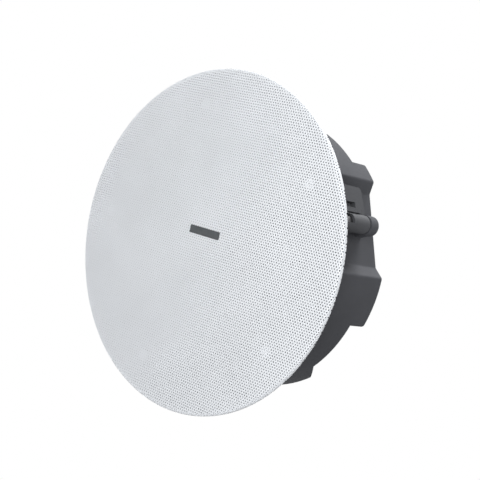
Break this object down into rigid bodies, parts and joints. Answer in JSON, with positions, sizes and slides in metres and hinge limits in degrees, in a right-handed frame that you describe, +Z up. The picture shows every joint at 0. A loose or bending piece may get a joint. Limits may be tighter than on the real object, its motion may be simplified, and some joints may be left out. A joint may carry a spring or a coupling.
{
  "type": "in-ceiling speaker",
  "caption": "Round in-ceiling loudspeaker with a flat perforated grille, a moulded back can and swing-out dog clamps that grip the ceiling panel behind its flange.",
  "frame": {"origin": "centre of the flange's seat, in the plane that meets the ceiling", "axes": "+Z up into the ceiling void along the speaker's axis, +X along the badge plate's long side; the grille faces -Z"},
  "size_m": [0.24, 0.24, 0.0829],
  "materials": {
    "grille_white": "fine white powder coat on perforated steel",
    "badge_grey": "satin dark grey",
    "magnet_nickel": "bright nickel plating",
    "frame_grey": "fine matte moulding",
    "can_grey": "fine matte moulding",
    "dog_grey": "fine matte moulding",
    "screw_steel": "zinc plating",
    "bush_steel": "black oxide",
    "cup_black": "matte moulding",
    "lever_black": "semi-gloss moulding",
    "lever_red": "semi-gloss moulding",
    "basket_black": "glass-filled moulding",
    "surround_rubber": "soft matte rubber",
    "cone_paper": "pressed and coated",
    "spider_cloth": "resin-treated cloth",
    "former_metal": "plain foil",
    "coil_copper": "enamelled copper wire",
    "pole_steel": "zinc plating",
    "ferrite": "raw sintered ferrite",
    "tab_board": "phenolic board",
    "bridge_black": "matte moulding",
    "dome_silk": "coated silk",
    "board_green": "solder mask",
    "capacitor_sleeve": "shrink sleeve"
  },
  "bodies": {
    "housing": {"grille": "grille_white", "badge_plate": "badge_grey", "grille_magnets": "magnet_nickel", "front_frame": "frame_grey", "can_screws": "screw_steel", "back_can": "can_grey", "terminal_cup": "cup_black", "terminal_block": "cup_black", "basket": "basket_black", "surround": "surround_rubber", "spider": "spider_cloth", "top_plate": "pole_steel", "ring_magnet": "ferrite", "back_plate": "pole_steel", "woofer_screws": "screw_steel", "woofer_tabs": "tab_board", "tweeter_bridge": "bridge_black", "bridge_screws": "screw_steel", "tweeter_face": "bridge_black", "dome_surround": "dome_silk", "tweeter_yoke": "pole_steel", "tweeter_magnet": "magnet_nickel", "tweeter_plate": "pole_steel", "crossover_board": "board_green", "board_screws": "screw_steel", "capacitor": "capacitor_sleeve", "inductor": "coil_copper"},
    "cone_assembly": {"cone": "cone_paper", "dust_cap": "cone_paper", "coil_former": "former_metal", "voice_coil": "coil_copper"},
    "dome_assembly": {"tweeter_dome": "dome_silk"},
    "black_lever": {"lever_black": "lever_black"},
    "red_lever": {"lever_red": "lever_red"},
    "screw_1": {"clamp_screw_1": "screw_steel"},
    "bush_1": {"clamp_bush_1": "bush_steel"},
    "dog_1": {"clamp_dog_1": "dog_grey"},
    "screw_2": {"clamp_screw_2": "screw_steel"},
    "bush_2": {"clamp_bush_2": "bush_steel"},
    "dog_2": {"clamp_dog_2": "dog_grey"},
    "screw_3": {"clamp_screw_3": "screw_steel"},
    "bush_3": {"clamp_bush_3": "bush_steel"},
    "dog_3": {"clamp_dog_3": "dog_grey"}
  },
  "joints": [
    {"name": "cone_travel", "type": "slide", "parent": "housing", "child": "cone_assembly", "axis": [0, 0, 1], "range_m": [-0.003, 0.003], "stiffness_N_per_m": 1200, "deforming": ["surround", "spider"]},
    {"name": "dome_travel", "type": "slide", "parent": "housing", "child": "dome_assembly", "axis": [0, 0, 1], "range_m": [-0.0003, 0.0003], "stiffness_N_per_m": 1000, "deforming": ["dome_surround"]},
    {"name": "black_lever_push", "type": "hinge", "parent": "housing", "child": "black_lever", "pos_m": [0.03518, 0.04493, 0.0696], "axis": [-0.866, 0.5, 0], "range_deg": [0, 15], "stiffness_Nm_per_rad": 0.03, "springref_deg": -8.59},
    {"name": "red_lever_push", "type": "hinge", "parent": "housing", "child": "red_lever", "pos_m": [0.02132, 0.05293, 0.0696], "axis": [-0.866, 0.5, 0], "range_deg": [0, 15], "stiffness_Nm_per_rad": 0.03, "springref_deg": -8.59},
    {"name": "clamp_1_screw_turn", "type": "hinge", "parent": "housing", "child": "screw_1", "pos_m": [0.08768, -0.03632, 0], "axis": [0, 0, 1], "range_deg": [0, 3060.1]},
    {"name": "clamp_1_travel", "type": "slide", "parent": "housing", "child": "bush_1", "axis": [0, 0, -1], "range_m": [0, 0.017]},
    {"name": "clamp_1_swing", "type": "hinge", "parent": "bush_1", "child": "dog_1", "pos_m": [0.08768, -0.03632, 0], "axis": [0, 0, 1], "range_deg": [0, 90]},
    {"name": "clamp_2_screw_turn", "type": "hinge", "parent": "housing", "child": "screw_2", "pos_m": [-0.01239, 0.09409, 0], "axis": [0, 0, 1], "range_deg": [0, 3060.1]},
    {"name": "clamp_2_travel", "type": "slide", "parent": "housing", "child": "bush_2", "axis": [0, 0, -1], "range_m": [0, 0.017]},
    {"name": "clamp_2_swing", "type": "hinge", "parent": "bush_2", "child": "dog_2", "pos_m": [-0.01239, 0.09409, 0], "axis": [0, 0, 1], "range_deg": [0, 90]},
    {"name": "clamp_3_screw_turn", "type": "hinge", "parent": "housing", "child": "screw_3", "pos_m": [-0.07529, -0.05777, 0], "axis": [0, 0, 1], "range_deg": [0, 3060.1]},
    {"name": "clamp_3_travel", "type": "slide", "parent": "housing", "child": "bush_3", "axis": [0, 0, -1], "range_m": [0, 0.017]},
    {"name": "clamp_3_swing", "type": "hinge", "parent": "bush_3", "child": "dog_3", "pos_m": [-0.07529, -0.05777, 0], "axis": [0, 0, 1], "range_deg": [0, 90]}
  ],
  "couplings": [
    {"joint": "clamp_1_screw_turn", "follows": "clamp_1_travel", "rad_per_m": 3141.6},
    {"joint": "clamp_2_screw_turn", "follows": "clamp_2_travel", "rad_per_m": 3141.6},
    {"joint": "clamp_3_screw_turn", "follows": "clamp_3_travel", "rad_per_m": 3141.6}
  ]
}
